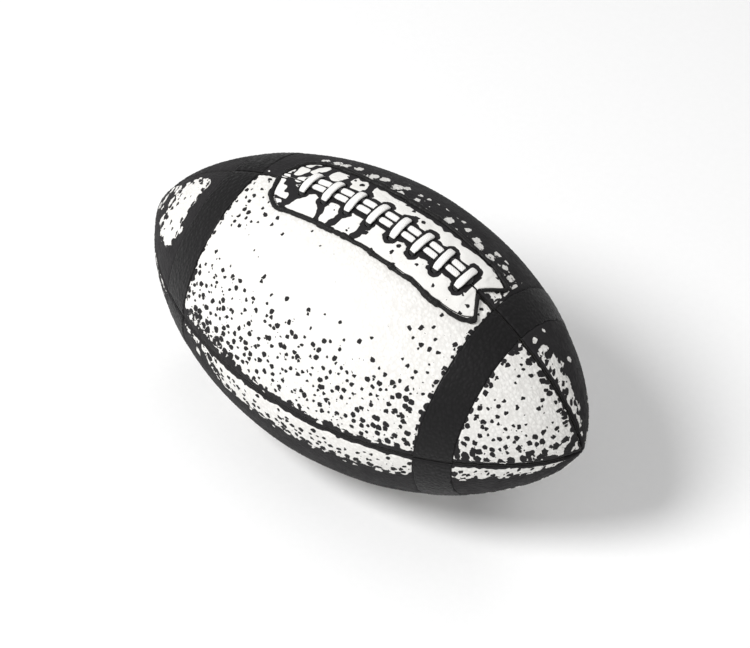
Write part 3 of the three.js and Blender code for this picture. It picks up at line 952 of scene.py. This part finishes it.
def run_height(x):
    """Height of a lengthwise run: it is pressed down under each bar and swells between them."""
    away = np.min(np.abs(x[:, None] - np.array(BARS)[None, :]), axis=1)
    return RUN_HEIGHT - 0.15 + 0.55 * smooth((away - 1.6) / 3.4), away


def run_strap():
    """The doubled run: out of the slit, along the front, round past the last bar and back along the back."""
    right, left = BARS[-1] + 2.2, BARS[0] - 2.8
    corners = [(left - 1.2, 0.0), (left, -1.2), (left + 2.5, -RUN_OFFSET), (right - 2.6, -RUN_OFFSET)]
    corners += [(right, -1.9), (right + 0.5, 0.0), (right, 1.9)]
    corners += [(right - 2.6, RUN_OFFSET), (left + 2.5, RUN_OFFSET), (left, 1.2), (left - 1.2, 0.25)]
    route = even_path(rounded(corners, 3), 0.5)
    x, y = route[:, 0], route[:, 1]
    height, away = run_height(x)
    dive = smooth((left + 2.2 - x) / 3.2)
    height = height * (1 - dive) - 2.6 * dive
    path = place_flat(x, y, height)
    direction = np.gradient(route, axis=0)
    side = np.column_stack([-direction[:, 1], direction[:, 0], np.zeros(len(route))])
    widths = RUN_WIDTH * (0.55 + 0.47 * np.sqrt(np.clip((away - 2.6) / 2.4, 0, 1))) * (1 - 0.4 * dive)
    thick = RUN_THICKNESS * (0.9 + 0.3 * smooth((away - 1.4) / 3.2))
    # painted shade: black next to the bars and where the run goes down into the slit
    lace_shade = np.maximum(1 - smooth((away - 3.3) / 0.8), dive)
    return sweep(path, side, widths, thick, STRAP_SIDES), strap_marks(path, widths, lace_shade)


def inner_straps():
    """Inside, the lace goes on from bar to bar, on the back and on the front in turn."""
    made = []
    for i in range(BAR_COUNT - 1):
        side = 1 if i % 2 == 0 else -1
        x = np.linspace(BARS[i] - 1.2, BARS[i + 1] + 1.2, 24)
        path = place_flat(x, np.full(len(x), side * BAR_HALF_SPAN), INNER_HEIGHT)
        strap = sweep(path, (0.0, 1.0, 0.0), BAR_WIDTH, INNER_THICKNESS, STRAP_SIDES)
        made.append((strap, strap_marks(path, BAR_WIDTH, np.zeros(len(x)))))
    return made


straps = [bar_strap(i, bar) for i, bar in enumerate(BARS)] + [run_strap()] + inner_straps()
lace_points, lace_faces = gather([shape for shape, _ in straps])
lace_marks = {}
for key in ("along", "across", "edge"):
    lace_marks[key] = np.concatenate([marks[key] for _, marks in straps])
make_piece("lace_cord", lace_points, lace_faces, LACE_WHITE, ["lace"], lace_marks)

# ---- Seam threads ----

THREAD_WIDTH = 1.0
THREAD_DEPTH = 1.35
THREAD_DIP = 0.22
THREAD_POINTS_PER_MM = 3


def make_seam(name, angle, low, high):
    """A waxed thread in a seam, drawn down at every stitch."""
    x = stations(low, high, int(THREAD_POINTS_PER_MM * (high - low)))
    arc = np.interp(x, ARC_X, ARC_LENGTH)
    beat = 2 * math.pi * arc / STITCH
    path = place(x, np.full(len(x), angle), -THREAD_DEPTH - THREAD_DIP * np.cos(beat))
    sideways = np.array([0.0, -math.sin(angle), math.cos(angle)])
    path = path + sideways * (0.16 * np.sin(beat / 2))[:, None]
    width = THREAD_WIDTH + 0.22 * np.cos(beat)
    points, faces = sweep(path, sideways, width, width, sides=10, squareness=1.0)
    make_piece(f"{name}_cord", points, faces, THREAD_BLACK, [name])


THREADS = {
    "back_seam_thread": 0.0,
    "top_seam_thread_left": TOP,
    "top_seam_thread_right": TOP,
    "front_seam_thread": FRONT,
    "bottom_seam_thread": -TOP,
}
for name, angle in THREADS.items():
    make_seam(name, angle, *node_range(name, 0))

# ---- Valve ----


def lathe(outline, sides=40):
    """A closed ring or plug turned about the valve's axis, from a closed loop of radius and height."""
    outline = np.array(outline, float)
    turn = 2 * math.pi * np.arange(sides) / sides
    outward = np.array([0.0, math.cos(VALVE_ANGLE), math.sin(VALVE_ANGLE)])
    one = np.array([1.0, 0.0, 0.0])
    two = np.cross(outward, one)
    round_it = one[None] * np.cos(turn)[:, None] + two[None] * np.sin(turn)[:, None]
    points = outward * (RADIUS + outline[:, 1])[:, None, None]
    points = points + outline[:, 0][:, None, None] * round_it[None]
    index = np.arange(len(outline) * sides).reshape(len(outline), sides)
    after = np.roll(index, -1, axis=1)
    below, below_after = np.roll(index, -1, axis=0), np.roll(after, -1, axis=0)
    faces = np.stack([index, after, below_after, below], -1).reshape(-1, 4).tolist()
    return points.reshape(-1, 3), faces


VALVE_BORE, VALVE_STEM, VALVE_FLANGE = 1.6, 3.2, 8.0
body = [(VALVE_BORE, -8.8), (VALVE_FLANGE - 0.5, -8.8), (VALVE_FLANGE, -8.3), (VALVE_FLANGE, -7.1)]
body += [(VALVE_FLANGE - 0.5, -6.7), (VALVE_STEM + 0.4, -6.6), (VALVE_STEM, -6.2), (VALVE_STEM, -0.9)]
body += [(VALVE_STEM - 0.15, -0.55), (VALVE_STEM - 0.5, -0.4), (VALVE_BORE + 0.5, -0.5), (VALVE_BORE, -1.0)]
points, faces = lathe(body)
make_piece("valve_body_rubber", points, faces, VALVE_RUBBER, ["valve_body"], sharp=40)
plug = [(0.02, -8.8), (1.2, -8.8), (1.3, -8.5), (1.3, -1.5)]
plug += [(1.1, -1.2), (0.5, -1.3), (0.25, -1.9), (0.02, -2.1)]
points, faces = lathe(plug)
make_piece("valve_plug_rubber", points, faces, VALVE_RUBBER, ["valve_plug"], sharp=40)

# ---- CAD nodes that stay, hidden inside the ball ----

kept = {f"{name}_lining": LINING_COTTON for name in QUARTERS}
kept["lace_guard"] = GUARD_LEATHER
kept["bladder"] = BLADDER_RUBBER
for node, material in kept.items():
    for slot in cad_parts[node].material_slots:
        slot.material = material

# ---- Floor, light and camera ----


def studio_material():
    """Matt white paper."""
    graph = Graph("studio_paper")
    fibres = graph.noise(graph.position(), 4.0, detail=4.0).outputs["Fac"]
    color = graph.mix(fibres, rgb(0.90, 0.90, 0.90), rgb(0.93, 0.93, 0.93))
    return graph.finish(color, 0.9)


FLOOR_SIZE, FLOOR_GAP = 12, 0.0004  # metres

bpy.ops.mesh.primitive_plane_add(size=FLOOR_SIZE, location=(0, 0, cad_low[2] - FLOOR_GAP))
floor = bpy.context.object
floor.name = "studio_floor"
floor.data.materials.append(studio_material())


def area_light(name, direction, distance, size, power):
    """A round lamp that points at the middle of the ball."""
    data = bpy.data.lights.new(name, "AREA")
    data.shape, data.size, data.energy = "DISK", size, power
    light = bpy.data.objects.new(name, data)
    direction = Vector(direction).normalized()
    light.location = direction * distance
    light.rotation_euler = (-direction).to_track_quat("-Z", "Y").to_euler()
    bpy.context.scene.collection.objects.link(light)


area_light("key", (-0.32, -0.62, 0.78), 1.8, 0.7, 30)
area_light("fill", (0.9, -0.5, 0.9), 2.2, 1.6, 6)
area_light("rim", (-0.2, 0.9, 0.8), 2.4, 1.4, 7)

world = bpy.data.worlds.new("studio_world")
world.use_nodes = True
world.node_tree.nodes["Background"].inputs["Color"].default_value = (1, 1, 1, 1)
world.node_tree.nodes["Background"].inputs["Strength"].default_value = 0.42
bpy.context.scene.world = world
bpy.context.scene.view_settings.view_transform = "Standard"

CAMERA_AZIMUTH, CAMERA_ELEVATION, CAMERA_ROLL = math.radians(32.3), math.radians(45.6), math.radians(6.5)
CAMERA_DISTANCE = 1.84
CAMERA_LENS = 165.8
AIM_RIGHT, AIM_DOWN = 0.0042, 0.0010  # the ball sits a little left of the middle of the frame and above it

camera_data = bpy.data.cameras.new("camera")
camera_data.lens = CAMERA_LENS
camera_data.clip_start, camera_data.clip_end = 0.05, 50
camera = bpy.data.objects.new("camera", camera_data)
bpy.context.scene.collection.objects.link(camera)
back = Vector((
    math.sin(CAMERA_AZIMUTH) * math.cos(CAMERA_ELEVATION),
    -math.cos(CAMERA_AZIMUTH) * math.cos(CAMERA_ELEVATION),
    math.sin(CAMERA_ELEVATION),
))
turned = (-back).to_track_quat("-Z", "Y").to_matrix() @ Matrix.Rotation(CAMERA_ROLL, 3, "Z")
aim = turned @ Vector((AIM_RIGHT, -AIM_DOWN, 0))
camera.matrix_world = Matrix.Translation(back * CAMERA_DISTANCE + aim) @ turned.to_4x4()
bpy.context.scene.camera = camera
